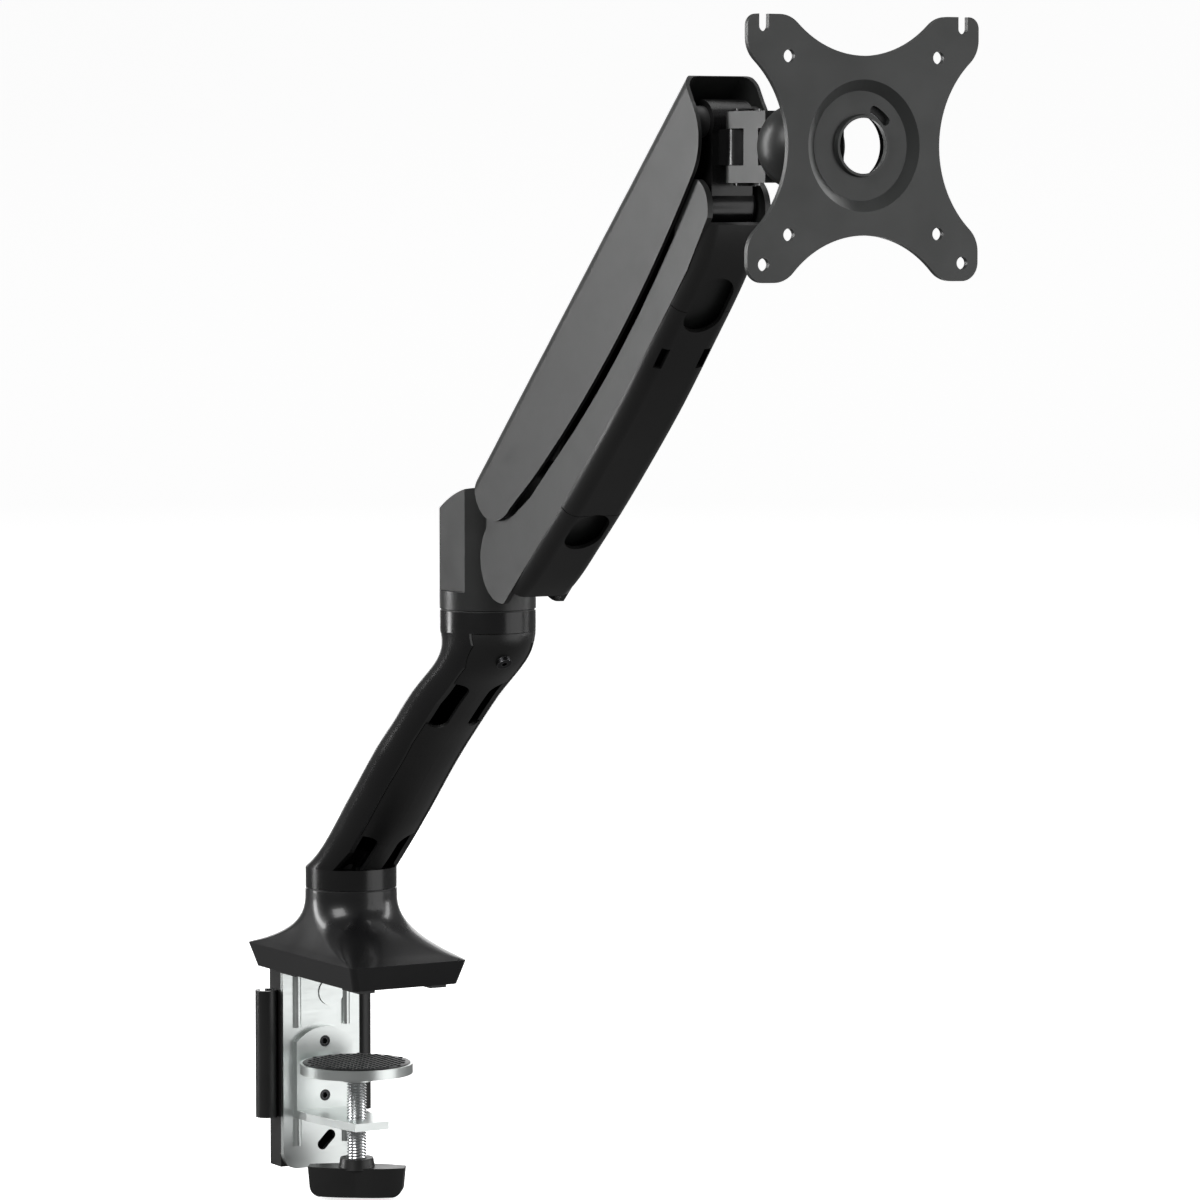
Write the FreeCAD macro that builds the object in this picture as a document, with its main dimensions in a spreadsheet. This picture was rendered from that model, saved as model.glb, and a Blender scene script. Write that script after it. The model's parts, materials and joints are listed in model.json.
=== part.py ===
"""Desk-clamp monitor arm with a gas-spring parallelogram and a pan, tilt and turn head.

Millimetres, +Z up, +X towards the screen.  The origin is on the desk top, on the axis of the base
pole.  The arm is drawn with both links and the head in the X-Z plane and the gas arm raised.
"""
import FreeCAD, Part
import math
import os

import Sketcher
from FreeCAD import Placement, Rotation, Vector

doc = FreeCAD.newDocument("monitor_arm")

# ---------------------------------------------------------------------------------------------
# Driving sizes
# ---------------------------------------------------------------------------------------------

SIZES = {
    # base
    "foot_height": 2.0,
    "base_half_length": 58.0,
    "base_half_width": 32.5,
    "base_shift": 5.0,
    "base_corner": 3.0,
    "skirt_height": 12.0,
    "skirt_taper": 3.5,
    "cover_wall": 2.5,
    "base_height": 45.5,
    "ring_radius": 23.1,
    "steel_plate": 4.0,
    "pad_length": 18.0,
    "pad_width": 9.0,
    "pole_radius": 11.0,
    "pole_flange": 18.0,
    "bush_wall": 3.0,
    "washer_thickness": 0.6,
    "run_gap": 0.3,
    "pin_gap": 0.05,
    # clamp
    "clamp_back": 33.5,
    "clamp_sheet": 3.0,
    "clamp_half_width": 21.7,
    "clamp_drop": 101.5,
    "flange_half_width": 15.5,
    "flange_reach": 58.0,
    "shelf_level": 71.0,
    "shelf_thickness": 4.0,
    "shelf_half_width": 16.0,
    "shelf_tip_half_width": 9.5,
    "shelf_reach": 55.5,
    "bolt_upper": 36.5,
    "bolt_lower": 64.3,
    "bolt_radius": 2.9,
    "rear_cover_depth": 12.0,
    "rear_cover_wall": 2.0,
    "channel_radius": 5.6,
    "channel_wall": 1.6,
    "channel_top": 10.0,
    "channel_bottom": 75.0,
    "throat": 41.8,
    "disc_radius": 28.4,
    "disc_thickness": 5.0,
    "disc_pad": 1.0,
    "screw_radius": 5.0,
    "screw_axis": 5.2,
    "collar_drop": 49.2,
    "collar_radius": 9.3,
    "collar_height": 4.5,
    "knob_height": 14.8,
    "knob_half_length": 24.5,
    "knob_half_width": 8.0,
    "knob_turn": 55.0,
    # lower arm
    "lower_reach": 143.0,
    "foot_ring": 11.0,
    "elbow_height": 185.3,
    "elbow_ring": 10.0,
    "limb_radius": 21.8,
    "casting_wall": 4.0,
    "split_offset": 14.5,
    "lid_wall": 2.2,
    "lid_gap": 0.3,
    "lid_recess": 0.8,
    "slot_skin": 2.0,
    "cable_slot_width": 12.0,
    "cable_slot_length": 37.0,
    "shaft_radius": 9.0,
    "shaft_rise": 35.0,
    # elbow post
    "post_flat": 19.4,
    "post_skirt": 8.6,
    "post_crown": 60.4,
    "crown_radius": 75.5,
    "crown_lead": 28.0,
    "tongue_half_width": 12.0,
    "tongue_radius": 9.0,
    "pivot_reach": 43.0,
    "pivot_rise": 26.7,
    "bar_spacing": 37.0,
    "pin_radius": 4.0,
    # gas arm
    "lift": 44.0,
    "lift_up": 5.0,
    "bar_length": 240.0,
    "body_half_width": 16.3,
    "body_wall": 2.8,
    "lobe_radius": 20.5,
    "body_floor": 2.2,
    "body_belly": 20.4,
    "belly": 27.3,
    "belly_corner": 7.0,
    "lid_split_rear": 60.6,
    "lid_split_front": 197.0,
    "belly_hole_radius": 9.6,
    "belly_hole_rear": 35.4,
    "belly_hole_rear_end": 61.5,
    "belly_hole_front": 184.5,
    "belly_hole_front_end": 217.0,
    "link_half_width": 19.0,
    "link_wall": 1.8,
    "link_top": 18.4,
    "link_corner": 8.4,
    "spring_radius": 7.0,
    "rod_radius": 3.0,
    "spring_front": 205.0,
    "spring_lever": 11.07,
    "spring_lever_lean": 7.0,
    "spring_body_start": 78.0,
    "eye_radius": 5.2,
    # head
    "pan_reach": 21.4,
    "yoke_rise": 25.7,
    "bracket_half_width": 10.5,
    "barrel_radius": 9.3,
    "barrel_half_height": 7.8,
    "yoke_plate": 7.5,
    "yoke_half_width": 9.5,
    "cup_reach": 44.0,
    "cup_radius": 19.0,
    "knuckle_radius": 8.0,
    "knuckle_half_width": 8.0,
    "head_arm_half_width": 6.0,
    "plate_reach": 50.5,
    "plate_thickness": 2.5,
    "plate_half_width": 58.0,
    "plate_half_height": 56.5,
    "scallop_radius": 48.0,
    "scallop_reach": 38.0,
    "shoulder": 13.0,
    "plate_top_corner": 5.0,
    "plate_low_corner": 8.0,
    "plate_hole": 11.8,
    "kidney_radius": 16.4,
    "dish_radius": 28.0,
    "dish_floor_radius": 23.3,
    "dish_depth": 2.9,
    "hub_bore": 14.6,
    "hub_wall": 0.9,
    "vesa_small": 75.0,
    "vesa_large": 100.0,
    "vesa_hole": 2.75,
    "vesa_slot": 2.4,
}


class Size:
    """A value together with the sheet formula that gives it."""

    def __init__(self, text, value):
        self.text = text
        self.value = float(value)

    def join(self, sign, other, swap=False):
        first, second = (as_size(other), self) if swap else (self, as_size(other))
        results = {
            "+": lambda a, b: a + b,
            "-": lambda a, b: a - b,
            "*": lambda a, b: a * b,
            "/": lambda a, b: a / b,
        }
        value = results[sign](first.value, second.value)
        return Size(f"({first.text} {sign} {second.text})", value)

    def __add__(self, other):
        return self.join("+", other)

    def __radd__(self, other):
        return self.join("+", other, True)

    def __sub__(self, other):
        return self.join("-", other)

    def __rsub__(self, other):
        return self.join("-", other, True)

    def __mul__(self, other):
        return self.join("*", other)

    def __rmul__(self, other):
        return self.join("*", other, True)

    def __truediv__(self, other):
        return self.join("/", other)

    def __neg__(self):
        return as_size(0) - self


def as_size(value):
    """Plain numbers join formulas as they are."""
    return value if isinstance(value, Size) else Size(repr(round(float(value), 6)), value)


def cosine(angle):
    return Size(f"cos({angle.text} * 1deg)", math.cos(math.radians(angle.value)))


def sine(angle):
    return Size(f"sin({angle.text} * 1deg)", math.sin(math.radians(angle.value)))


def root(size):
    return Size(f"sqrt({size.text})", math.sqrt(size.value))


class Sizes:
    """Reads the sheet's cells by name."""

    def __init__(self, sheet):
        self.sheet = sheet

    def __getattr__(self, name):
        return Size(f"Sizes.{name}", self.sheet.get(name))


def fill_sheet():
    sheet = doc.addObject("Spreadsheet::Sheet", "Sizes")
    for row, (name, value) in enumerate(SIZES.items(), start=1):
        sheet.set(f"A{row}", name)
        sheet.set(f"B{row}", str(value))
        sheet.setAlias(f"B{row}", name)
    doc.recompute()
    return sheet


size = Sizes(fill_sheet())

# ---------------------------------------------------------------------------------------------
# Drawing helpers
# ---------------------------------------------------------------------------------------------

ALONG = {
    "z": Rotation(),
    "y": Rotation(Vector(1, 0, 0), -90),
    "x": Rotation(Vector(0, 1, 0), 90),
}


def bind(obj, name, value):
    obj.setExpression(name, as_size(value).text)


def locate(obj, x, y, z):
    for axis, value in zip("xyz", (x, y, z)):
        bind(obj, f"Placement.Base.{axis}", value)


def lean(obj, angle):
    """Turns an object up from +X towards +Z about its own Y axis."""
    obj.Placement = Placement(Vector(), Rotation(Vector(0, -1, 0), as_size(angle).value))
    bind(obj, "Placement.Rotation.Angle", angle)


def box(name, x, y, z):
    """Box between pairs of coordinates."""
    obj = doc.addObject("Part::Box", name)
    for prop, (low, high) in zip(("Length", "Width", "Height"), (x, y, z)):
        bind(obj, prop, as_size(high) - low)
    locate(obj, x[0], y[0], z[0])
    return obj


def rod(name, axis, centre, low, high, radius):
    """Cylinder along an axis; centre holds the two other coordinates in x, y, z order."""
    obj = doc.addObject("Part::Cylinder", name)
    bind(obj, "Radius", radius)
    bind(obj, "Height", as_size(high) - low)
    obj.Placement = Placement(Vector(), ALONG[axis])
    place = list(centre)
    place.insert("xyz".index(axis), low)
    locate(obj, *place)
    return obj


def taper(name, axis, centre, low, high, first_radius, last_radius):
    """Cone frustum along an axis."""
    obj = doc.addObject("Part::Cone", name)
    bind(obj, "Radius1", first_radius)
    bind(obj, "Radius2", last_radius)
    bind(obj, "Height", as_size(high) - low)
    obj.Placement = Placement(Vector(), ALONG[axis])
    place = list(centre)
    place.insert("xyz".index(axis), low)
    locate(obj, *place)
    return obj


def fuse(name, *shapes):
    obj = doc.addObject("Part::MultiFuse", name)
    obj.Shapes = list(shapes)
    obj.Refine = True
    return obj


def cut(name, base, *tools):
    obj = doc.addObject("Part::Cut", name)
    obj.Base = base
    obj.Tool = tools[0] if len(tools) == 1 else fuse(f"{name}_tools", *tools)
    return obj


def common(name, *shapes):
    obj = doc.addObject("Part::MultiCommon", name)
    obj.Shapes = list(shapes)
    return obj


def arc_between(start, end, radius, left):
    """Circle arc from start to end; left is true when it turns left on the way."""
    middle = (start + end) * 0.5
    chord = end - start
    normal = Vector(-chord.y, chord.x, 0).normalize()
    height = math.sqrt(max(radius * radius - chord.Length ** 2 / 4, 0.0))
    centre = middle + normal * (height if left else -height)
    first, last = (start, end) if left else (end, start)
    angles = [math.atan2(p.y - centre.y, p.x - centre.x) for p in (first, last)]
    if angles[1] < angles[0]:
        angles[1] += 2 * math.pi
    return Part.ArcOfCircle(Part.Circle(centre, Vector(0, 0, 1), radius), *angles)


def sketch_outline(body, name, role, steps):
    """Closed sketch on one of the body's origin planes.

    steps: (x, y) for a straight run to a point, (x, y, radius) for an arc that turns left and
    (x, y, -radius) for one that turns right.
    """
    plane = [f for f in body.Origin.OriginFeatures if f.Role == role][0]
    sketch = body.newObject("Sketcher::SketchObject", name)
    sketch.AttachmentSupport = [(plane, "")]
    sketch.MapMode = "FlatFace"
    points = [(as_size(step[0]), as_size(step[1])) for step in steps]
    count = len(steps)
    ends = []
    for index, step in enumerate(steps):
        start = Vector(points[index - 1][0].value, points[index - 1][1].value, 0)
        end = Vector(points[index][0].value, points[index][1].value, 0)
        if len(step) == 2:
            sketch.addGeometry(Part.LineSegment(start, end), False)
            ends.append((1, 2))
        else:
            radius = as_size(step[2])
            left = radius.value > 0
            sketch.addGeometry(arc_between(start, end, abs(radius.value), left), False)
            ends.append((1, 2) if left else (2, 1))
    for index in range(count):
        following = (index + 1) % count
        joint = Sketcher.Constraint("Coincident", index, ends[index][1], following, ends[following][0])
        sketch.addConstraint(joint)
    for index, step in enumerate(steps):
        for kind, value in zip(("DistanceX", "DistanceY"), points[index]):
            rule = Sketcher.Constraint(kind, -1, 1, index, ends[index][1], value.value)
            number = sketch.addConstraint(rule)
            bind(sketch, f"Constraints[{number}]", value)
        if len(step) == 3:
            radius = as_size(step[2])
            radius = radius if radius.value > 0 else -radius
            number = sketch.addConstraint(Sketcher.Constraint("Radius", index, radius.value))
            bind(sketch, f"Constraints[{number}]", radius)
    return sketch


def slab(name, role, steps, thickness):
    """Body padded symmetrically about an origin plane."""
    body = doc.addObject("PartDesign::Body", name)
    sketch = sketch_outline(body, f"{name}_outline", role, steps)
    pad = body.newObject("PartDesign::Pad", f"{name}_pad")
    pad.Profile = sketch
    pad.SideType = "Symmetric"
    bind(pad, "Length", thickness)
    return body


def turned(name, role, steps, axis):
    """Body revolved about one of its sketch axes."""
    body = doc.addObject("PartDesign::Body", name)
    sketch = sketch_outline(body, f"{name}_outline", role, steps)
    turn = body.newObject("PartDesign::Revolution", f"{name}_turn")
    turn.Profile = sketch
    turn.ReferenceAxis = (sketch, [axis])
    turn.Angle = 360
    return body


nodes = []


def node(label, obj):
    """Names an object as a finished piece."""
    obj.Label = label
    nodes.append(obj)
    return obj


def set_shape(name, shape):
    obj = doc.addObject("Part::Feature", name)
    obj.Shape = shape
    return obj


# ---------------------------------------------------------------------------------------------
# Places shared by several pieces
# ---------------------------------------------------------------------------------------------

elbow_x = size.lower_reach
elbow_top = size.elbow_height + size.elbow_ring
post_foot = elbow_top + size.washer_thickness + size.run_gap
lower_pivot = (elbow_x + size.pivot_reach, elbow_top + size.pivot_rise)
upper_pivot = (lower_pivot[0], lower_pivot[1] + size.bar_spacing)
run_x = cosine(size.lift)
run_z = sine(size.lift)


def on_bar(pivot, along, above):
    """World x and z of a point given along and above a bar of the gas arm."""
    x = pivot[0] + run_x * along - run_z * above
    z = pivot[1] + run_z * along + run_x * above
    return x, z


front_lower = on_bar(lower_pivot, size.bar_length, 0)
front_upper = (front_lower[0], front_lower[1] + size.bar_spacing)
pan_x = front_lower[0] + size.pan_reach
head_z = front_lower[1] + size.yoke_rise
tilt_x = pan_x + size.cup_reach
screen_x = tilt_x + size.plate_reach


def along_bar(obj, pivot, along, side, above):
    """Puts an object into the slanted frame of a bar."""
    lean(obj, size.lift)
    x, z = on_bar(pivot, along, above)
    locate(obj, x, side, z)
    return obj


# ---------------------------------------------------------------------------------------------
# Base
# ---------------------------------------------------------------------------------------------


def rounded_wire(half_length, half_width, corner, shift, level):
    """Rectangle with round corners at one level, always four lines and four arcs."""
    a, b, r = half_length, half_width, corner
    corners = [(a - r, b - r, 0), (r - a, b - r, 90), (r - a, r - b, 180), (a - r, r - b, 270)]
    arcs = []
    for x, y, start in corners:
        circle = Part.Circle(Vector(x + shift, y, level), Vector(0, 0, 1), r)
        arcs.append(Part.ArcOfCircle(circle, math.radians(start), math.radians(start + 90)).toShape())
    edges = []
    for index, arc in enumerate(arcs):
        following = arcs[(index + 1) % 4]
        edges += [arc, Part.makeLine(arc.Vertexes[-1].Point, following.Vertexes[0].Point)]
    return Part.Wire(edges)


FLARE_STEPS = (0.0, 0.09, 0.19, 0.31, 0.46, 0.64, 0.82, 1.0)


def flare(inset, first_level, last_level):
    """Flared cover form: a round neck that spreads into the rectangular rim."""
    rim_corner = size.base_corner.value
    neck = size.ring_radius.value - inset
    wires = []
    for step in FLARE_STEPS:
        spread = (1 - step) ** 3
        half_length = neck + (size.base_half_length.value - inset - neck) * spread
        half_width = neck + (size.base_half_width.value - inset - neck) * spread
        corner = (neck - 0.05) + (rim_corner - neck) * spread
        shift = size.base_shift.value * spread
        level = first_level + (last_level - first_level) * step
        wires.append(rounded_wire(half_length, half_width, corner, shift, level))
    return Part.makeLoft(wires, True, False)


def skirt(inset, low, high):
    """Tapered wall between the rim and the desk."""
    pairs = ((size.skirt_taper.value, low), (0.0, high))
    wires = []
    for taper_in, level in pairs:
        half_length = size.base_half_length.value - inset - taper_in
        half_width = size.base_half_width.value - inset - taper_in
        corner = size.base_corner.value - min(inset, 1.5)
        wires.append(rounded_wire(half_length, half_width, corner, size.base_shift.value, level))
    return Part.makeLoft(wires, True, True)


def base_cover():
    wall = size.cover_wall.value
    low = size.foot_height.value
    rim = low + size.skirt_height.value
    top = size.base_height.value
    outer = skirt(0.0, low, rim).fuse(flare(0.0, rim, top))
    inner = skirt(wall, low, rim).fuse(flare(wall, rim, top - wall))
    bore = Part.makeCylinder(size.pole_radius.value + size.run_gap.value, top * 2)
    shell = outer.cut(inner).cut(bore)
    return node("base_cover", set_shape("BaseCover", shell.removeSplitter()))


def base_plate():
    low = size.foot_height + size.clamp_sheet
    inset = size.skirt_taper + size.cover_wall + 1
    half_length = size.base_half_length - inset
    half_width = size.base_half_width - inset
    middle = size.base_shift
    sheet = box(
        "PlateSheet",
        (middle - half_length, middle + half_length),
        (-half_width, half_width),
        (low, low + size.steel_plate),
    )
    loose = size.bolt_radius + size.pin_gap
    holes = base_bolt_shapes("PlateHole", loose, low - 1, low + size.steel_plate + 1)
    return node("base_plate", cut("BasePlate", sheet, *holes))


BASE_BOLT_SPOTS = ((-24.0, -10.0), (-24.0, 10.0), (16.0, -10.0), (16.0, 10.0))


def base_bolt_shapes(name, radius, low, high):
    return [rod(f"{name}{i}", "z", spot, low, high, radius) for i, spot in enumerate(BASE_BOLT_SPOTS)]


def base_bolts():
    low = size.foot_height
    top = low + size.clamp_sheet + size.steel_plate
    shanks = base_bolt_shapes("BoltShank", size.bolt_radius, low + 0.2, top)
    return node("base_bolts", fuse("BaseBolts", *shanks))


def foot_pads():
    inset = size.skirt_taper + size.cover_wall + 2
    top = size.foot_height + size.clamp_sheet
    pads = []
    rear = 1 + size.pad_length / 2 - size.clamp_back
    front = size.base_shift + size.base_half_length - inset - size.pad_length / 2
    for x in (rear, front):
        for side in (-1, 1):
            y = side * (size.base_half_width - inset - size.pad_width / 2)
            pads.append(box(
                f"Pad{len(pads)}",
                (x - size.pad_length / 2, x + size.pad_length / 2),
                (y - size.pad_width / 2, y + size.pad_width / 2),
                (0, top),
            ))
    mat_half = size.flange_half_width - 1.5
    pads.append(box("FlangeMat", (3 - size.clamp_back, 16), (-mat_half, mat_half), (0, size.foot_height)))
    return node("foot_pads", fuse("FootPads", *pads))


def base_pole():
    low = size.foot_height + size.clamp_sheet + size.steel_plate
    high = size.base_height + size.foot_ring + 2
    flange = rod("PoleFlange", "z", (0, 0), low, low + 4, size.pole_flange)
    tube = rod("PoleTube", "z", (0, 0), low, high, size.pole_radius)
    bore = rod("PoleBore", "z", (0, 0), low - 1, high + 1, size.pole_radius - 3)
    return node("base_pole", cut("BasePole", fuse("PoleBody", flange, tube), bore))


def base_washer():
    low = size.base_height
    ring = rod("BaseWasherRing", "z", (0, 0), low, low + size.washer_thickness, size.ring_radius - 0.9)
    hole = rod("BaseWasherHole", "z", (0, 0), low - 1, low + 2, size.pole_radius + size.run_gap)
    return node("base_washer", cut("BaseWasher", ring, hole))


# ---------------------------------------------------------------------------------------------
# Desk clamp
# ---------------------------------------------------------------------------------------------


def clamp_plate():
    front = -size.clamp_back
    rear = front - size.clamp_sheet
    half = size.clamp_half_width
    corner = 8.0
    outline = [
        (half - corner, -size.clamp_drop),
        (half, corner - size.clamp_drop, corner),
        (half, size.foot_height),
        (-half, size.foot_height),
        (-half, corner - size.clamp_drop),
        (corner - half, -size.clamp_drop, corner),
    ]
    wall = slab("ClampWall", "YZ_Plane", outline, size.clamp_sheet)
    locate(wall, front - size.clamp_sheet / 2, 0, 0)
    high = size.foot_height + size.clamp_sheet
    wall_top = box("ClampWallTop", (rear, front), (-size.flange_half_width, size.flange_half_width),
                   (size.foot_height - 1, high))
    flange = box(
        "ClampFlange",
        (rear, rear + size.flange_reach),
        (-size.flange_half_width, size.flange_half_width),
        (size.foot_height, high),
    )
    beads = [
        rod("RibLeft", "z", (front, -13.9), 12 - size.clamp_drop, -2, 2.2),
        rod("RibRight", "z", (front, 13.9), 12 - size.clamp_drop, -2, 2.2),
        rod("Emboss", "x", (5.5, -12), front - 1, front + 0.8, 7),
    ]
    body = fuse("ClampBody", wall, wall_top, flange, *beads)
    holes = base_bolt_shapes("FlangeHole", size.bolt_radius + size.pin_gap, -5, high + 5)
    for index, level in enumerate((size.bolt_upper, size.bolt_lower)):
        loose = size.bolt_radius + size.pin_gap
        holes.append(rod(f"WallHole{index}", "x", (0, -level), rear - 5, front + 5, loose))
    holes.append(key_slot(front))
    clear_rear = box("BeadTrim", (rear - 9, rear), (-30, 30), (-size.clamp_drop - 5, 0))
    seat = box(
        "ShelfSeat",
        (front, front + 5),
        (-size.shelf_half_width - 0.3, size.shelf_half_width + 0.3),
        (-size.shelf_level - size.shelf_thickness - 0.3, 0.3 - size.bolt_upper + size.shelf_half_width * 0.45),
    )
    return node("clamp_plate", cut("ClampPlate", body, clear_rear, seat, *holes))


def key_slot(front):
    """Slanted slot that stores the hexagon key."""
    slot = slab("KeySlot", "YZ_Plane", [(-4.0, 2.8), (-4.0, -2.8, 3.0), (4.0, -2.8), (4.0, 2.8, 3.0)], 12.0)
    slot.Placement = Placement(Vector(), Rotation(Vector(1, 0, 0), 45))
    locate(slot, front, 2.7, 13.5 - size.clamp_drop)
    return slot


def clamp_shelf():
    """Angle bracket that carries the clamp screw."""
    back = -size.clamp_back
    face = back + size.shelf_thickness
    half = size.shelf_half_width
    top = -size.bolt_upper + size.shelf_half_width * 0.4
    under = -size.shelf_level - size.shelf_thickness
    tip = back + size.shelf_reach
    upright = slab(
        "ShelfUpright",
        "YZ_Plane",
        [(-half, under), (half, under), (half, top - 6), (-half, top - 6, half * 1.35)],
        size.shelf_thickness,
    )
    locate(upright, back + size.shelf_thickness / 2, 0, 0)
    tongue = slab(
        "ShelfTongue",
        "XY_Plane",
        [
            (back, -half),
            (back + 14, -half),
            (tip, -size.shelf_tip_half_width),
            (tip, size.shelf_tip_half_width),
            (back + 14, half),
            (back, half),
        ],
        size.shelf_thickness,
    )
    locate(tongue, 0, 0, under + size.shelf_thickness / 2)
    tap = size.screw_radius + size.pin_gap
    loose = size.bolt_radius + size.pin_gap
    holes = [rod("ScrewTap", "z", (size.screw_axis, 0), under - 5, under + 10, tap)]
    for index, level in enumerate((size.bolt_upper, size.bolt_lower)):
        holes.append(rod(f"ShelfHole{index}", "x", (0, -level), back - 5, face + 5, loose))
    return node("clamp_shelf", cut("ClampShelf", fuse("ShelfBody", upright, tongue), *holes))


def shelf_bolts():
    rear = -size.clamp_back - size.clamp_sheet - 5
    face = -size.clamp_back + size.shelf_thickness - 0.3
    bolts = []
    for index, level in enumerate((size.bolt_upper, size.bolt_lower)):
        shank = rod(f"ShelfBolt{index}", "x", (0, -level), rear, face, size.bolt_radius)
        nut = rod(f"ShelfNut{index}", "x", (0, -level), rear, rear + 4.8, size.bolt_radius * 1.8)
        socket = rod(f"ShelfSocket{index}", "x", (0, -level), face - 2.5, face + 1, size.bolt_radius * 0.55)
        bolts.append(cut(f"ShelfFastener{index}", fuse(f"ShelfBoltBody{index}", shank, nut), socket))
    return node("shelf_bolts", fuse("ShelfBolts", *bolts))


def clamp_rear_cover():
    """Moulded cover behind the clamp plate."""
    front = -size.clamp_back - size.clamp_sheet - 0.1
    rear = front - size.rear_cover_depth
    half = size.clamp_half_width
    wall = size.rear_cover_wall
    outer = box("RearCoverOuter", (rear, front), (-half, half), (1 - size.clamp_drop, size.foot_height - 0.5))
    inner = box(
        "RearCoverInner",
        (rear + wall, front + 1),
        (wall - half, half - wall),
        (1 - size.clamp_drop + wall, size.foot_height - 0.5 - wall),
    )
    return node("clamp_rear_cover", cut("ClampRearCover", outer, inner))


def cable_channels():
    """Two open clips on the sides of the rear cover that guide the screen's leads."""
    depth_middle = -size.clamp_back - size.clamp_sheet - size.rear_cover_depth / 2
    low = -size.channel_bottom
    high = -size.channel_top
    clips = []
    for side in (-1, 1):
        y = side * (size.clamp_half_width + size.channel_radius - 0.6)
        outer = rod(f"ChannelOuter{side + 1}", "z", (depth_middle, y), low, high, size.channel_radius)
        inner_radius = size.channel_radius - size.channel_wall
        inner = rod(f"ChannelInner{side + 1}", "z", (depth_middle, y), low - 1, high + 1, inner_radius)
        mouth_ends = (depth_middle - 12, depth_middle)
        mouth = box(f"ChannelMouth{side + 1}", mouth_ends, (y - 1.8, y + 1.8), (low - 1, high + 1))
        inboard = sorted((side * (size.clamp_half_width.value + 0.05), side * (size.clamp_half_width.value - 6)))
        deep = (depth_middle - 12, depth_middle + 12)
        trim = box(f"ChannelTrim{side + 1}", deep, tuple(inboard), (low - 1, high + 1))
        clips.append(cut(f"Channel{side + 1}", outer, inner, mouth, trim))
    return node("cable_channels", fuse("CableChannels", *clips))


def pressure_disc():
    top = -size.throat - size.disc_pad
    low = top - size.disc_thickness
    axis = (size.screw_axis, 0)
    plate = rod("DiscPlate", "z", axis, low, top, size.disc_radius)
    boss = rod("DiscBoss", "z", axis, low - 4, low + 1, size.screw_radius + 3.5)
    bore = rod("DiscBore", "z", axis, low - 5, low + 3, size.screw_radius + size.pin_gap)
    return node("pressure_disc", cut("PressureDisc", fuse("DiscBody", plate, boss), bore))


def disc_pad():
    top = -size.throat
    axis = (size.screw_axis, 0)
    return node("disc_pad", rod("DiscPad", "z", axis, top - size.disc_pad, top, size.disc_radius - 1.2))


def clamp_screw():
    disc_low = -size.throat - size.disc_pad - size.disc_thickness
    low = -size.throat - size.collar_drop - size.knob_height
    return node(
        "clamp_screw",
        rod("ClampScrew", "z", (size.screw_axis, 0), low, disc_low + 2.9, size.screw_radius),
    )


def turn_with_knob(obj, level):
    obj.Placement = Placement(Vector(), Rotation(Vector(0, 0, 1), size.knob_turn.value)) * obj.Placement
    bind(obj, "Placement.Rotation.Angle", size.knob_turn)
    locate(obj, size.screw_axis, 0, level)


def clamp_knob():
    """Two-winged handle moulded round the foot of the screw."""
    axis = (size.screw_axis, 0)
    collar_top = -size.throat - size.collar_drop
    wing_top = collar_top - size.collar_height
    low = wing_top - size.knob_height
    collar_radius = size.collar_radius
    collar = taper("KnobCollar", "z", axis, wing_top - 1, collar_top, collar_radius, collar_radius - 1)
    half = size.knob_half_length
    wide = size.knob_half_width
    wings = slab(
        "KnobWings",
        "XY_Plane",
        [
            (half, wide - 4),
            (0, wide, half * 2.2),
            (-half, wide - 4, half * 2.2),
            (-half, 4 - wide),
            (0, -wide, half * 2.2),
            (half, 4 - wide, half * 2.2),
        ],
        size.knob_height,
    )
    rise = size.knob_height / 2
    profile = slab(
        "KnobProfile",
        "XZ_Plane",
        [
            (-half, rise),
            (1 - half, 5 - rise),
            (6 - half, -rise, 5.2),
            (half - 6, -rise),
            (half - 1, 5 - rise, 5.2),
            (half, rise),
        ],
        wide * 2 + 2,
    )
    turn_with_knob(wings, (wing_top + low) / 2)
    turn_with_knob(profile, (wing_top + low) / 2)
    wings = common("KnobShapedWings", wings, profile)
    bore = rod("KnobBore", "z", axis, low + 3, collar_top + 1, size.screw_radius)
    return node("clamp_knob", cut("ClampKnob", fuse("KnobBody", collar, wings), bore))


# ---------------------------------------------------------------------------------------------
# Lower arm
# ---------------------------------------------------------------------------------------------

# How the limb climbs from the base ring to the elbow: share of its reach, share of its rise.
LIMB_LINE = (
    (0.0, 0.0), (0.1, 0.08), (0.225, 0.205), (0.385, 0.375), (0.555, 0.547),
    (0.74, 0.716), (0.935, 0.868), (1.0, 0.955), (1.0, 1.0),
)


def limb_stations():
    """Centre x, level and radius of the limb's level sections."""
    foot = size.base_height.value + size.foot_ring.value
    rise = size.elbow_height.value - foot
    stations = []
    for reach_share, rise_share in LIMB_LINE:
        end_share = min(rise_share, 1 - rise_share)
        blend = max(0.0, 1 - end_share / 0.07)
        radius = size.limb_radius.value + (size.ring_radius.value - size.limb_radius.value) * blend
        stations.append((size.lower_reach.value * reach_share, foot + rise * rise_share, radius))
    return stations


def limb_form(inset):
    """Round-sectioned limb, thinned by an inset."""
    wires = []
    for x, level, radius in limb_stations():
        circle = Part.Circle(Vector(x, 0, level), Vector(0, 0, 1), radius - inset)
        wires.append(Part.Wire(circle.toShape()))
    return Part.makeLoft(wires, True, False)


def limb_block(rear, front, half_width, stations):
    """Box-sectioned body that follows the limb, from rear to front of its centre line."""
    wires = []
    for x, level, _ in stations:
        corners = [(rear, -half_width), (front, -half_width), (front, half_width), (rear, half_width)]
        points = [Vector(x + dx, y, level) for dx, y in corners]
        wires.append(Part.makePolygon(points + points[:1]))
    return Part.makeLoft(wires, True, True)


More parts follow.
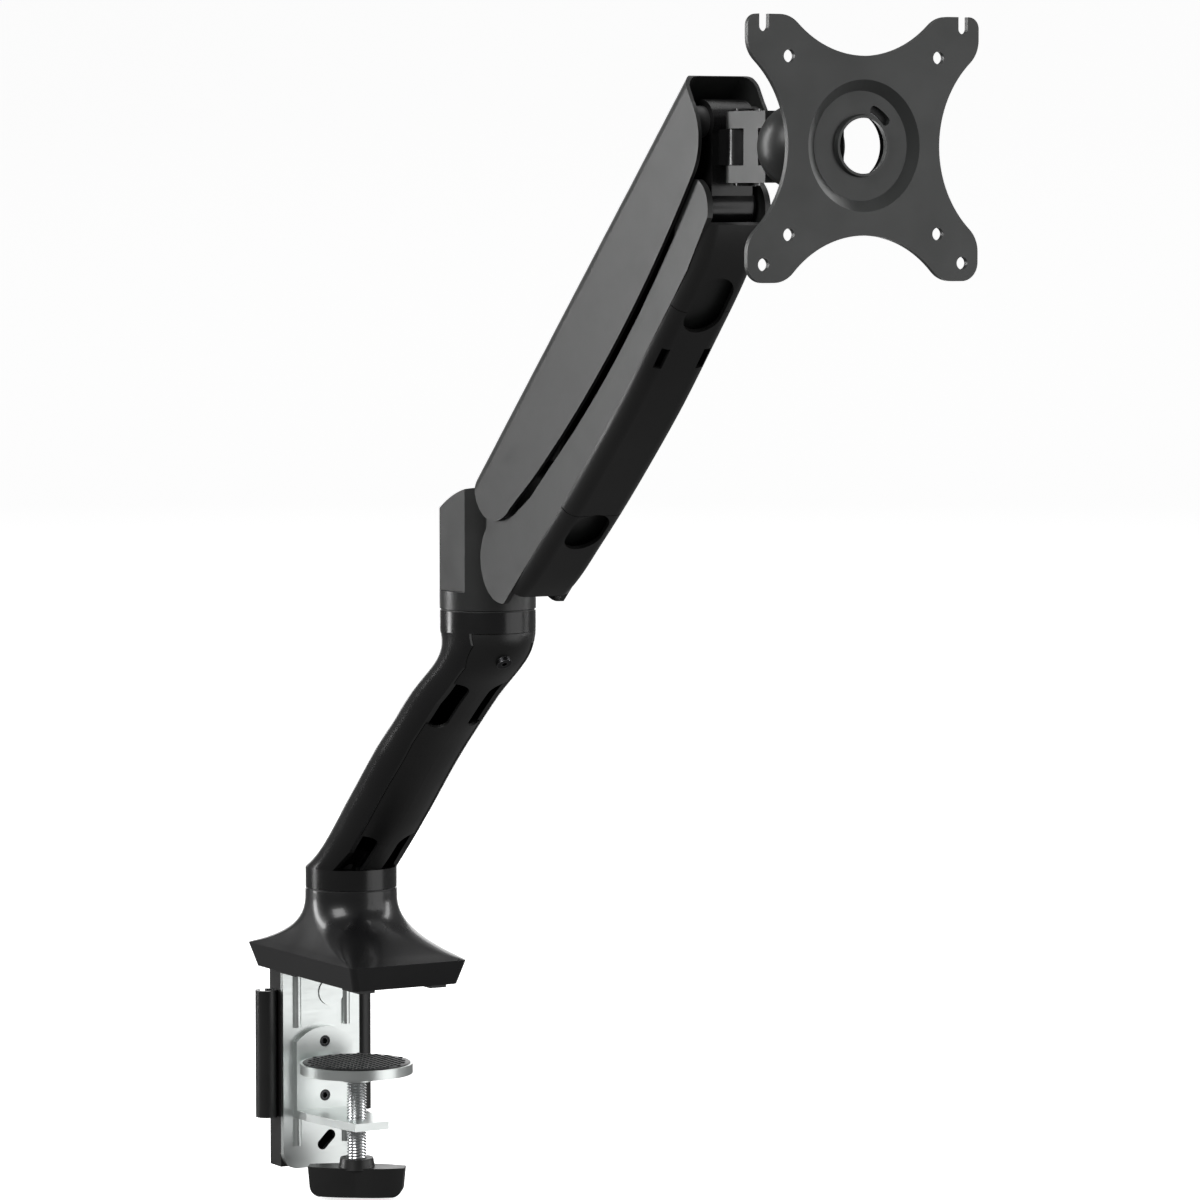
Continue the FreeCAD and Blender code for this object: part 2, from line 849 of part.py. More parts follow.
def cable_slots(share, rise_share, slope):
    """Rounded openings at both edges of the lid, square to the limb."""
    foot = size.base_height.value + size.foot_ring.value
    x = size.lower_reach.value * share
    z = foot + (size.elbow_height.value - foot) * rise_share
    length = size.cable_slot_length.value
    width = size.cable_slot_width.value
    run = (length - width) / 2
    turn = Rotation(Vector(0, -1, 0), slope)
    tools = []
    for side in (-1, 1):
        bar = Part.makeBox(run * 2, width, 60, Vector(-run, -width / 2, -60))
        ends = [Part.makeCylinder(width / 2, 60, Vector(end * run, 0, -60)) for end in (-1, 1)]
        tool = bar.fuse(ends)
        tool.Placement = Placement(Vector(x, side * size.limb_radius.value * 0.53, z), turn)
        tools.append(tool)
    return tools


def limb_pieces():
    """Casting with its cable trough, and the lid that closes the trough."""
    stations = limb_stations()
    foot = size.base_height.value + size.foot_ring.value
    ring_low = size.base_height.value + size.washer_thickness.value + size.run_gap.value
    top = size.elbow_height.value
    radius = size.ring_radius.value
    reach = size.lower_reach.value
    split = size.split_offset.value
    gap = size.lid_gap.value
    limb = limb_form(0.0)
    front_zone = limb_block(split, split + 60, 60, stations)
    lid_zone = limb_block(split + gap, split + 60, 60, stations)
    wall = size.casting_wall.value
    limb_radius = size.limb_radius.value
    trough = limb_block(-limb_radius, split + 5, limb_radius, stations[1:-1]).common(limb_form(wall))
    foot_ring = Part.makeCylinder(radius, foot - ring_low, Vector(0, 0, ring_low))
    elbow_ring = Part.makeCylinder(radius, size.elbow_ring.value, Vector(reach, 0, top))
    pole_radius = size.pole_radius.value
    pole_bush = pole_radius + size.bush_wall.value
    bore = Part.makeCylinder(pole_bush, foot + 2.5 - ring_low, Vector(0, 0, ring_low))
    bore_top = Part.makeCylinder(pole_radius + 1, foot + 3 - ring_low, Vector(0, 0, ring_low))
    foot_core = Part.makeCylinder(pole_bush + 3, 12, Vector(0, 0, foot - 5)).common(limb)
    shaft_hole = Part.makeCylinder(size.shaft_radius.value, 40, Vector(reach, 0, top - 10))
    elbow_core = Part.makeCylinder(size.shaft_radius.value + 4, 14, Vector(reach, 0, top - 14)).common(limb)
    casting = limb.cut(front_zone).cut(trough).fuse([foot_ring, elbow_ring, foot_core, elbow_core])
    casting = casting.cut(bore).cut(bore_top).cut(shaft_hole)
    boss_x = reach + split + 1
    screw_axis = Vector(0.62, 0, -0.785)
    screw_seat = Vector(boss_x, 0, top - 14) - screw_axis * 2
    recess = size.lid_recess.value
    lid = limb_form(recess).common(lid_zone).cut(limb_form(recess + size.lid_wall.value))
    clear_low = Part.makeBox(200, 100, gap, Vector(-100, -50, foot))
    clear_top = Part.makeBox(200, 100, gap, Vector(reach - 100, -50, top - gap))
    screw_hole = Part.makeCylinder(2.3, 40, screw_seat - screw_axis * 20, screw_axis)
    screw_sink = Part.makeCylinder(4.2, 20, screw_seat + screw_axis * 3, screw_axis)
    lid = lid.cut([clear_low, clear_top, screw_hole, screw_sink])
    slots = cable_slots(0.15, 0.10, 48) + cable_slots(0.81, 0.772, 40)
    lid = lid.cut(slots)
    lid = max(lid.Solids, key=lambda solid: solid.Volume)
    screw = Part.makeCylinder(2.2, 7, screw_seat - screw_axis * 4, screw_axis)
    screw_head = Part.makeCylinder(3.8, 2.6, screw_seat + screw_axis * 1, screw_axis)
    screw_key = Part.makeCylinder(1.4, 4, screw_seat + screw_axis * 2, screw_axis)
    screw = screw.fuse(screw_head).cut(screw_key)
    screw_room = Part.makeCylinder(4.2, 3, screw_seat + screw_axis * 0.9, screw_axis)
    boss = Part.makeCylinder(5, 30, screw_seat - screw_axis * 30, screw_axis).common(limb_form(wall))
    boss = boss.cut(Part.makeCylinder(2.25, 60, screw_seat - screw_axis * 4.5, screw_axis))
    casting = casting.fuse(boss.cut(shaft_hole)).cut(lid).cut(screw_room)
    skin = limb_form(size.slot_skin.value)
    casting = casting.cut(screw).cut([slot.common(skin) for slot in slots])
    casting = max(casting.Solids, key=lambda solid: solid.Volume)
    node("lower_arm_casting", set_shape("LowerArmCasting", casting))
    node("lower_arm_lid", set_shape("LowerArmLid", lid))
    node("lid_screw", set_shape("LidScrew", screw.cut(lid)))


def lower_arm_bush():
    low = size.base_height + size.washer_thickness + size.run_gap
    inner = size.pole_radius + size.pin_gap
    high = size.base_height + size.foot_ring + 2.4
    sleeve = rod("BushOuter", "z", (0, 0), low, high, size.pole_radius + size.bush_wall)
    hole = rod("BushInner", "z", (0, 0), low - 1, high + 1, inner)
    return node("lower_arm_bush", cut("LowerArmBush", sleeve, hole))


def elbow_shaft():
    low = size.elbow_height - 10
    high = elbow_top + size.shaft_rise
    return node("elbow_shaft", rod("ElbowShaft", "z", (elbow_x, 0), low, high, size.shaft_radius))


def elbow_washer():
    high = elbow_top + size.washer_thickness
    ring = rod("ElbowWasherRing", "z", (elbow_x, 0), elbow_top, high, size.ring_radius - 0.7)
    hole = rod("ElbowWasherHole", "z", (elbow_x, 0), elbow_top - 1, elbow_top + 2, size.shaft_radius + 0.2)
    return node("elbow_washer", cut("ElbowWasher", ring, hole))


# ---------------------------------------------------------------------------------------------
# Elbow post
# ---------------------------------------------------------------------------------------------


def elbow_post():
    foot = post_foot
    crown = elbow_top + size.post_crown
    column = rod("PostColumn", "z", (elbow_x, 0), foot, crown, size.ring_radius)
    crown_x = elbow_x + size.crown_lead
    dome = rod("PostCrown", "y", (crown_x, crown - size.crown_radius), -60, 60, size.crown_radius)
    crowned = common("PostCrowned", column, dome)
    reach = (elbow_x - 60, elbow_x + 60)
    heights = (foot + size.post_skirt, crown + 1)
    flats = [
        box("FlatLeft", reach, (-size.post_flat - 20, -size.post_flat), heights),
        box("FlatRight", reach, (size.post_flat, size.post_flat + 20), heights),
    ]
    half = size.tongue_half_width
    low_x, low_z = lower_pivot
    high_z = upper_pivot[1]
    radius = size.tongue_radius
    neck_start = elbow_x + size.ring_radius - 2
    anchor = spring_anchor()
    tongue = [
        rod("LowerLug", "y", lower_pivot, -half, half, radius),
        rod("UpperLug", "y", upper_pivot, -half, half, radius),
        rod("AnchorLug", "y", anchor, -half, half, size.eye_radius),
        box("TongueWeb", (elbow_x + 10, low_x + radius), (-half, half), (low_z, high_z - radius - 2)),
        box("TongueNeck", (neck_start, low_x + radius), (-half, half), (low_z + 10, high_z)),
        box("TongueFoot", (elbow_x + 10, low_x), (-half, half), (low_z - radius + 0.5, low_z + 1)),
    ]
    holes = [
        rod("PostBore", "z", (elbow_x, 0), foot - 1, elbow_top + size.shaft_rise + 1, bush_radius()),
        rod("LowerLugHole", "y", lower_pivot, -60, 60, size.pin_radius),
        rod("UpperLugHole", "y", upper_pivot, -60, 60, size.pin_radius),
        rod("AnchorHole", "y", anchor, -60, 60, size.rod_radius - 0.5),
    ]
    body = fuse("PostBody", cut("PostFlatted", crowned, *flats), *tongue)
    return node("elbow_post", cut("ElbowPost", body, *holes, *spring_notch(anchor)))


def bush_radius():
    return size.shaft_radius + 2.5


def spring_anchor():
    """Pivot of the gas spring on the post, a short lever below the lower pivot."""
    x = lower_pivot[0] + size.spring_lever * sine(size.spring_lever_lean)
    z = lower_pivot[1] - size.spring_lever * cosine(size.spring_lever_lean)
    return x, z


def spring_notch(anchor):
    """Room between the post's cheeks for the rod at every height of the gas arm."""
    x, z = anchor
    low = box("NotchLow", (x, x + 40), (-5.5, 5.5), (z - 30, z + 5))
    high = box("NotchHigh", (0, 40), (-5.5, 5.5), (-24, 4.6))
    lean(high, size.lift + size.lift_up)
    locate(high, x + 24 * sine(size.lift + size.lift_up), -5.5, z - 24 * cosine(size.lift + size.lift_up))
    return [low, high, rod("NotchEye", "y", anchor, -5.5, 5.5, size.eye_radius + 2)]


def elbow_bush():
    low = post_foot
    high = elbow_top + size.shaft_rise
    sleeve = rod("ElbowBushOuter", "z", (elbow_x, 0), low, high, bush_radius())
    hole = rod("ElbowBushInner", "z", (elbow_x, 0), low - 1, high + 1, size.shaft_radius + size.pin_gap)
    return node("elbow_bush", cut("ElbowBush", sleeve, hole))


def post_pins():
    """Rear pivot pins, held in the post and turning in the two links."""
    low_reach = size.body_half_width - 0.9
    high_reach = size.link_half_width - 1.0
    anchor_reach = size.tongue_half_width
    node("lower_rear_pin", rod("LowerRearPin", "y", lower_pivot, -low_reach, low_reach, size.pin_radius))
    node("upper_rear_pin", rod("UpperRearPin", "y", upper_pivot, -high_reach, high_reach, size.pin_radius))
    anchor_pin = rod("SpringRearPin", "y", spring_anchor(), -anchor_reach, anchor_reach, size.rod_radius - 0.5)
    node("spring_rear_pin", anchor_pin)


def pin_spacers(label, name, pivots, inner_face):
    """Washers between a lug and the links: pivots holds a place and the face each washer reaches."""
    rings = []
    for index, (place, outer_face) in enumerate(pivots):
        for side in (-1, 1):
            faces = sorted((side * inner_face, side * outer_face), key=lambda face: face.value)
            tag = f"{name}{index}{side + 1}"
            ring = rod(f"{tag}Ring", "y", place, *faces, size.pin_radius + 3)
            hole = rod(f"{tag}Hole", "y", place, faces[0] - 1, faces[1] + 1, size.pin_radius)
            rings.append(cut(tag, ring, hole))
    return node(label, fuse(name, *rings))


# ---------------------------------------------------------------------------------------------
# Gas arm
# ---------------------------------------------------------------------------------------------


def body_outline():
    """Side view of the lower link, from its rear pivot."""
    lobe = size.lobe_radius
    end = size.bar_length
    return [
        (lobe * 0.1707, lobe * 0.9853),
        (lobe * -0.6252, lobe * -0.7805, lobe),
        (21.3, -17.6),
        (end - 22, -18.2, end * 8),
        (end + 6.4, -13.5),
        (end + 12.4, 3.8, 14),
        (end + 3, 9.5, 13),
        (end - 11, 9),
        (end - 19, 0.2),
        (65, 0.7, end * -2.6),
        (41, 3),
        (23, 7.6),
    ]


def gas_arm_body():
    end = size.bar_length
    half = size.body_half_width
    cheeks = along_bar(slab("BodyCheeks", "XZ_Plane", body_outline(), half * 2), lower_pivot, 0, 0, 0)
    inside_outline = [
        (-60, 60),
        (-60, -60),
        (30, -60),
        (30, -15.7),
        (end - 22, -16.2, end * 8),
        (end - 22, -60),
        (end + 60, -60),
        (end + 60, 60),
    ]
    inside = slab("BodyInside", "XZ_Plane", inside_outline, (half - size.body_wall) * 2)
    along_bar(inside, lower_pivot, 0, 0, 0)
    socket = half - 0.6
    holes = [
        rod("BodyRearHole", "y", lower_pivot, -socket, socket, size.pin_radius + size.pin_gap),
        rod("BodyFrontHole", "y", front_lower, -socket, socket, size.pin_radius + size.pin_gap),
        rod("SpringFrontHole", "y", spring_front(), 1 - half, half - 1, size.rod_radius),
    ]
    return node("gas_arm_body", cut("GasArmBody", cheeks, inside, *holes))


def spring_drop():
    """Distance of the spring's axis below the line of the lower pivots."""
    return size.spring_lever * 0.8716


def spring_front():
    return on_bar(lower_pivot, size.spring_front, -spring_drop())


# Depth of the underside below the pivots: share of the bar, share of the deepest belly.
BELLY_LINE = (
    (-0.06, 0.67), (-0.017, 0.725), (0.03, 0.806), (0.125, 0.88), (0.225, 0.94), (0.41, 0.998),
    (0.58, 1.0), (0.74, 0.93), (0.89, 0.842), (0.965, 0.73), (1.017, 0.575),
)


def tray_section(along, depth, half_width, corner):
    """Section across the underside: two sides, a flat bottom and two round corners."""
    low = -depth
    turn = corner * (1 - math.sqrt(0.5))
    edges = []
    for side in (-1, 1):
        high = Vector(along, side * half_width, 0)
        start = Vector(along, side * half_width, low + corner)
        middle = Vector(along, side * (half_width - turn), low + turn)
        end = Vector(along, side * (half_width - corner), low)
        edges += [Part.makeLine(high, start), Part.Arc(start, middle, end).toShape()]
    lowest = [Vector(along, side * (half_width - corner), low) for side in (-1, 1)]
    highest = [Vector(along, side * half_width, 0) for side in (1, -1)]
    edges += [Part.makeLine(*lowest), Part.makeLine(*highest)]
    return Part.Wire(Part.__sortEdges__(edges))


def belly_form(name, inset, last):
    """Underside of the gas arm as one smooth form, in the frame of the lower link."""
    sections = []
    for along_share, depth_share in BELLY_LINE[:last]:
        along = size.bar_length.value * along_share
        depth = size.belly.value * depth_share - inset
        corner = size.belly_corner.value - inset
        sections.append(tray_section(along, depth, size.body_half_width.value - inset, corner))
    return along_bar(set_shape(name, Part.makeLoft(sections, True, False)), lower_pivot, 0, 0, 0)


def bar_box(name, along, side, above):
    """Box in the frame of the lower link."""
    spans = [(0, high - as_size(low)) for low, high in (along, side, above)]
    obj = box(name, *spans)
    return along_bar(obj, lower_pivot, along[0], side[0], above[0])


def belly_lids():
    """Three snap-on lids under the gas arm with the two cable openings."""
    outer = belly_form("BellyOuter", 0.0, len(BELLY_LINE))
    inner = belly_form("BellyInner", 2.0, len(BELLY_LINE) - 1)
    body_form = slab("BellyTrim", "XZ_Plane", body_outline(), size.body_half_width * 2 + 2)
    along_bar(body_form, lower_pivot, 0, 0, -0.05)
    end = size.bar_length
    roof = bar_box("BellyRoof", (-30, end + 30), (-20, 20), (-13, 30))
    shell = cut("BellyShell", outer, inner, body_form, roof)
    rear = size.lid_split_rear
    front = size.lid_split_front
    spans = (
        ("rear_belly_lid", -4, rear - 0.2),
        ("middle_belly_lid", rear + 0.2, front - 0.2),
        ("front_belly_lid", front + 0.2, end + 6),
    )
    tools = belly_hole("Rear", size.belly_hole_rear, size.belly_hole_rear_end)
    tools += belly_hole("Front", size.belly_hole_front, size.belly_hole_front_end)
    slots = []
    for middle in (-10.9, 10.9):
        slots.append(bar_box(f"VentSlot{len(slots)}", (162, 174), (middle - 2, middle + 2), (-40, -15)))
    opened = cut("BellyOpened", shell, *tools, *slots)
    for label, low, high in spans:
        zone = bar_box(f"{label}_zone", (low, high), (-20, 20), (-40, 0))
        node(label, common(f"{label}_form", opened, zone))


def belly_hole(tag, low, high):
    """Long cable opening with round ends, from one distance along the bar to another."""
    radius = size.belly_hole_radius
    tools = [bar_box(f"{tag}HoleMiddle", (low + radius, high - radius), (-radius, radius), (-40, -15))]
    for end, along in (("Low", low + radius), ("High", high - radius)):
        round_end = doc.addObject("Part::Cylinder", f"{tag}Hole{end}")
        bind(round_end, "Radius", radius)
        bind(round_end, "Height", 30)
        tools.append(along_bar(round_end, lower_pivot, along, 0, -40))
    return tools


def link_section(name, half, top, corner):
    """Bar with a round-cornered top, open-ended along the upper link."""
    outline = [
        (half, top - corner),
        (half - corner, top, corner),
        (corner - half, top),
        (-half, top - corner, corner),
        (-half, -60),
        (half, -60),
    ]
    bar = slab(name, "YZ_Plane", outline, size.bar_length + 80)
    return along_bar(bar, upper_pivot, size.bar_length / 2, 0, 0)


def upper_link():
    """Channel that covers the top of the gas arm and works as its upper link."""
    end = size.bar_length
    top = size.link_top
    outline = [
        (-10, top),
        (-17.2, -9.2, 17.2),
        (1.4, -17.6, 24),
        (24.3, -21.5),
        (end - 12, -20.5, end * 3.06),
        (end + 5.1, -10.2, 26),
        (end + 9.5, 3, 26),
        (end + 12, top - 3),
        (end + 9.3, top, 3.2),
    ]
    side = slab("LinkSide", "XZ_Plane", outline, size.link_half_width * 2)
    along_bar(side, upper_pivot, 0, 0, 0)
    wall = size.link_wall
    outer = link_section("LinkOuter", size.link_half_width, top, size.link_corner)
    inner = link_section("LinkInner", size.link_half_width - wall, top - 2, size.link_corner - wall)
    socket = size.link_half_width - 0.7
    holes = [
        rod("LinkRearHole", "y", upper_pivot, -socket, socket, size.pin_radius + size.pin_gap),
        rod("LinkFrontHole", "y", front_upper, -socket, socket, size.pin_radius + 0.3),
    ]
    return node("upper_link", cut("UpperLink", common("LinkForm", side, outer), inner, *holes))


def bar_rod(name, low, high, radius):
    """Cylinder on the gas spring's axis, between two distances along the lower link."""
    obj = doc.addObject("Part::Cylinder", name)
    bind(obj, "Radius", radius)
    bind(obj, "Height", as_size(high) - low)
    x, z = on_bar(lower_pivot, low, -spring_drop())
    obj.Placement = Placement(Vector(), Rotation(Vector(0, 1, 0), 90 - size.lift.value))
    bind(obj, "Placement.Rotation.Angle", 90 - size.lift)
    locate(obj, x, 0, z)
    return obj


def gas_spring():
    start = size.spring_body_start
    front = size.spring_front
    tube = bar_rod("SpringTube", start, front - 4, size.spring_radius)
    chamber = bar_rod("SpringChamber", start + 6, front - 9, size.spring_radius - 1)
    gland = bar_rod("SpringGland", start - 1, start + 7, size.rod_radius + size.pin_gap)
    eye = rod("SpringFrontEye", "y", spring_front(), -6, 6, 6)
    eye_hole = rod("SpringFrontEyeHole", "y", spring_front(), -9, 9, size.rod_radius)
    node("gas_spring_tube", cut("GasSpringTube", fuse("SpringBody", tube, eye), chamber, gland, eye_hole))
    pin_half = size.body_half_width - 1.2
    node("spring_front_pin", rod("SpringFrontPin", "y", spring_front(), -pin_half, pin_half, size.rod_radius))
    eye_along = size.spring_lever * sine(size.spring_lever_lean - size.lift)
    place = on_bar(lower_pivot, eye_along, -spring_drop())
    shaft = bar_rod("SpringShaft", eye_along + 4.6, start + 45, size.rod_radius)
    piston = bar_rod("SpringPiston", start + 40, start + 46, size.spring_radius - 1.1)
    rear_eye = rod("SpringRearEye", "y", place, -4.5, 4.5, size.eye_radius)
    rear_hole = rod("SpringRearEyeHole", "y", place, -9, 9, size.eye_radius - 1.1)
    node("gas_spring_rod", cut("GasSpringRod", fuse("SpringRodBody", shaft, piston, rear_eye), rear_hole))


# ---------------------------------------------------------------------------------------------
# End bracket and pan yoke
# ---------------------------------------------------------------------------------------------


def end_bracket():
    half = size.bracket_half_width
    x, low = front_lower
    high = front_upper[1]
    barrel = (head_z - size.barrel_half_height, head_z + size.barrel_half_height)
    parts = [
        rod("BracketLowerLug", "y", front_lower, -half, half, 9.5),
        rod("BracketUpperLug", "y", front_upper, -half, half, 9.8),
        box("BracketWeb", (x - 8.1, x + 8.4), (-half, half), (low, high)),
        box("BracketNeck", (x, pan_x), (-7, 7), barrel),
        rod("BracketBarrel", "z", (pan_x, 0), *barrel, size.barrel_radius),
    ]
    holes = [
        rod("BracketLowerHole", "y", front_lower, -60, 60, size.pin_radius),
        rod("BracketUpperHole", "y", front_upper, -60, 60, size.pin_radius),
        rod("BracketBore", "z", (pan_x, 0), barrel[0] - 5, barrel[1] + 5, size.pin_radius + size.pin_gap),
    ]
    return node("end_bracket", cut("EndBracket", fuse("BracketBody", *parts), *holes))


def bracket_pins():
    low_reach = size.body_half_width - 0.9
    high_reach = size.link_half_width - 1.0
    node("lower_front_pin", rod("LowerFrontPin", "y", front_lower, -low_reach, low_reach, size.pin_radius))
    node("upper_front_pin", rod("UpperFrontPin", "y", front_upper, -high_reach, high_reach, size.pin_radius))


def yoke_levels():
    inner = size.barrel_half_height + size.run_gap
    return inner, inner + size.yoke_plate


def pan_yoke():
    """Fork round the bracket's barrel that carries the half-ball of the tilt joint."""
    inner, outer = yoke_levels()
    half = size.yoke_half_width
    arms = []
    for tag, low, high in (("Low", head_z - outer, head_z - inner), ("High", head_z + inner, head_z + outer)):
        arms.append(rod(f"Yoke{tag}Eye", "z", (pan_x, 0), low, high, half))
        arms.append(box(f"Yoke{tag}Arm", (pan_x, tilt_x - 14), (-half, half), (low, high)))
    back = box("YokeBack", (pan_x + 12, pan_x + 24), (-half, half), (head_z - outer, head_z + outer))
    ball = doc.addObject("Part::Sphere", "YokeBall")
    bind(ball, "Radius", size.cup_radius)
    locate(ball, tilt_x, 0, head_z)
    reach = (tilt_x - 30, tilt_x + 30)
    limits = box("BallLimits", reach, (-size.cup_radius - 1, size.cup_radius - 2), (head_z - 30, head_z + 30))
    slot_half = size.knuckle_half_width + size.run_gap
    slot = box("BallSlot", (tilt_x - 10.5, tilt_x + 30), (-slot_half, slot_half), (head_z - 30, head_z + 30))
    bolt = rod("BallBolt", "y", (tilt_x, head_z), -12, 60, 3)
    head_seat = rod("BoltHeadSeat", "y", (tilt_x, head_z), 14, 30, 6.4)
    nut_seat = rod("NutSeat", "y", (tilt_x, head_z), -11.2, 0, 6.1)
    pin = rod("YokePinHole", "z", (pan_x, 0), head_z - outer - 5, head_z + outer + 5, size.pin_radius)
    body = fuse("YokeBody", *arms, back, common("YokeBallForm", ball, limits))
    return node("pan_yoke", cut("PanYoke", body, slot, bolt, pin, head_seat, nut_seat))


def pan_pin():
    outer = yoke_levels()[1]
    shank = rod("PanPinShank", "z", (pan_x, 0), head_z - outer - 1.4, head_z + outer, size.pin_radius)
    head = rod("PanPinHead", "z", (pan_x, 0), head_z + outer, head_z + outer + 1.2, size.pin_radius + 2)
    clip = rod("PanPinClip", "z", (pan_x, 0), head_z - outer - 1.2, head_z - outer, size.pin_radius + 2.2)
    return node("pan_pin", fuse("PanPin", shank, head, clip))


def tilt_bolt():
    """Bolt through the half-ball, with its head on one side and a captive nut inside the other."""
    place = (tilt_x, head_z)
    shank = rod("TiltShank", "y", place, -11, 15, 3)
    head = rod("TiltHeadRing", "y", place, 14, 17.2, 5.6)
    socket = rod("TiltSocket", "y", place, 15.4, 18, 2.6)
    node("tilt_bolt", cut("TiltBolt", fuse("TiltBoltBody", shank, head), socket))
    nut = doc.addObject("Part::Prism", "TiltNutBlock")
    nut.Polygon = 6
    bind(nut, "Circumradius", 6)
    bind(nut, "Height", 2.7)
    nut.Placement = Placement(Vector(), ALONG["y"])
    locate(nut, tilt_x, -11.2, head_z)
    hole = rod("TiltNutHole", "y", place, -20, 0, 3)
    node("tilt_nut", cut("TiltNut", nut, hole))


# ---------------------------------------------------------------------------------------------
# Tilt head and screen plate
# ---------------------------------------------------------------------------------------------


def tilt_head():
    """Open frame between the tilt barrel and the turning ring behind the screen plate."""
    ring_back = screen_x - 8.5
    half = size.knuckle_half_width
    window = size.hub_bore + 3.4
    frame = window + 3.5
    arm = size.head_arm_half_width
    parts = [
        rod("Knuckle", "y", (tilt_x, head_z), -half, half, size.knuckle_radius),
        box("KnuckleNeck", (tilt_x, tilt_x + 12), (-half, half), (head_z - 6.5, head_z + 6.5)),
        box("KnuckleBeam", (tilt_x + 11, tilt_x + 22), (-arm, arm), (head_z - 6.5, head_z + 6.5)),
        box("FrameWeb", (tilt_x + 21, tilt_x + 25), (-arm, arm), (head_z - frame, head_z + frame)),
        box("FrameLow", (tilt_x + 24, ring_back + 1), (-arm, arm), (head_z - frame, head_z - window)),
        box("FrameHigh", (tilt_x + 24, ring_back + 1), (-arm, arm), (head_z + window, head_z + frame)),
        rod("FrameRing", "x", (0, head_z), ring_back, ring_back + 2.2, 22),
    ]
    bore = rod("FrameBore", "x", (0, head_z), ring_back - 1, ring_back + 5, hub_outer() + size.pin_gap)
    hole = rod("KnuckleHole", "y", (tilt_x, head_z), -60, 60, 3 + size.pin_gap)
    return node("tilt_head", cut("TiltHead", fuse("HeadBody", *parts), bore, hole))


def hub_outer():
    return size.hub_bore + size.hub_wall


def plate_washer():
    back = screen_x - 8.5 + 2.2
    ring = rod("PlateWasherRing", "x", (0, head_z), back, back + 0.6, 20)
    hole = rod("PlateWasherHole", "x", (0, head_z), back - 1, back + 2, hub_outer() + 0.4)
    return node("plate_washer", cut("PlateWasher", ring, hole))


def hollow_shoulder(edge):
    """Where a rounded shoulder leaves a plate edge, and where it meets the edge's hollow."""
    depth = size.scallop_reach + size.scallop_radius - edge + size.shoulder
    span = size.scallop_radius + size.shoulder
    along = root(span * span - depth * depth)
    share = size.shoulder / span
    return along, edge - size.shoulder + depth * share, along - along * share


def plate_outline():
    """Square plate with round corners and a shouldered hollow in the middle of every side."""
    wide = size.plate_half_width
    top = size.plate_half_height - 1.5
    low = size.plate_half_height + 1.2
    tight = size.plate_top_corner
    corner = size.plate_low_corner
    hollow = size.scallop_radius
    round_in = size.shoulder
    side_edge, side_level, side_in = hollow_shoulder(wide)
    top_edge, top_level, top_in = hollow_shoulder(top)
    low_edge, low_level, low_in = hollow_shoulder(low)
    return [
        (wide, top - tight),
        (wide - tight, top, tight),
        (top_edge, top),
        (top_in, top_level, round_in),
        (-top_in, top_level, -hollow),
        (-top_edge, top, round_in),
        (tight - wide, top),
        (-wide, top - tight, tight),
        (-wide, side_edge),
        (-side_level, side_in, round_in),
        (-side_level, -side_in, -hollow),
        (-wide, -side_edge, round_in),
        (-wide, corner - low),
        (corner - wide, -low, corner),
        (-low_edge, -low),
        (-low_in, -low_level, round_in),
        (low_in, -low_level, -hollow),
        (low_edge, -low, round_in),
        (wide - corner, -low),
        (wide, corner - low, corner),
        (wide, -side_edge),
        (side_level, -side_in, round_in),
        (side_level, side_in, -hollow),
        (wide, side_edge, round_in),
    ]


def vesa_plate():
    back = screen_x - size.plate_thickness
    front = screen_x
    sheet = slab("PlateSheetForm", "YZ_Plane", plate_outline(), size.plate_thickness)
    locate(sheet, (back + front) / 2, 0, head_z)
    dish_hole = rod("DishRoom", "x", (0, head_z), back - 5, front + 5, size.dish_radius + 0.5)
    floor_front = size.plate_thickness - size.dish_depth
    rim = size.dish_radius
    floor = size.dish_floor_radius
    hole = size.plate_hole
    dish = turned(
        "Dish",
        "XZ_Plane",
        [
            (size.plate_thickness, rim + 0.7),
            (0, rim + 0.7),
            (0, rim - 1.1),
            (floor_front - size.plate_thickness, floor - 1.1),
            (floor_front - size.plate_thickness, hole + 1.4),
            (size.plate_thickness - 0.6, hole),
            (size.plate_thickness - 0.6, hole + 1.1),
            (floor_front, hole + 1.6),
            (floor_front, floor),
            (size.plate_thickness, rim),
        ],
        "H_Axis",
    )
    locate(dish, back, 0, head_z)
    body = fuse("PlateBody", cut("PlateRing", sheet, dish_hole), dish)
    return node("vesa_plate", cut("VesaPlate", body, *plate_holes(back, front)))


def plate_holes(back, front):
    span = (back - 8, front + 5)
    small = size.vesa_small / 2
    large = size.vesa_large / 2
    holes = []
    for y_side in (-1, 1):
        for z_side in (-1, 1):
            place = (y_side * small, head_z + z_side * small)
            holes.append(rod(f"SmallHole{len(holes)}", "x", place, *span, size.vesa_hole))
    for y_side in (-1, 1):
        side = y_side * large
        holes.append(rod(f"LargeHole{y_side + 1}", "x", (side, head_z - large), *span, size.vesa_hole))
        holes.append(rod(f"SlotEnd{y_side + 1}", "x", (side, head_z + large), *span, size.vesa_slot))
        wide = (side - size.vesa_slot, side + size.vesa_slot)
        holes.append(box(f"SlotMouth{y_side + 1}", span, wide, (head_z + large, head_z + large + 20)))
    holes.append(kidney_slot())
    return holes


def kidney_slot():
    """Curved stop slot in the dish floor."""
    ends = [(cosine(as_size(angle)), sine(as_size(angle))) for angle in (38.0, 68.0)]
    outer = size.kidney_radius + 2
    inner = size.kidney_radius - 2
    (y0, z0), (y1, z1) = ends
    outline = [
        (outer * y1, outer * z1, outer),
        (inner * y1, inner * z1, 2.2),
        (inner * y0, inner * z0, -inner),
        (outer * y0, outer * z0, 2.2),
    ]
    slot = slab("KidneySlot", "YZ_Plane", outline, 30)
    locate(slot, screen_x, 0, head_z)
    return slot


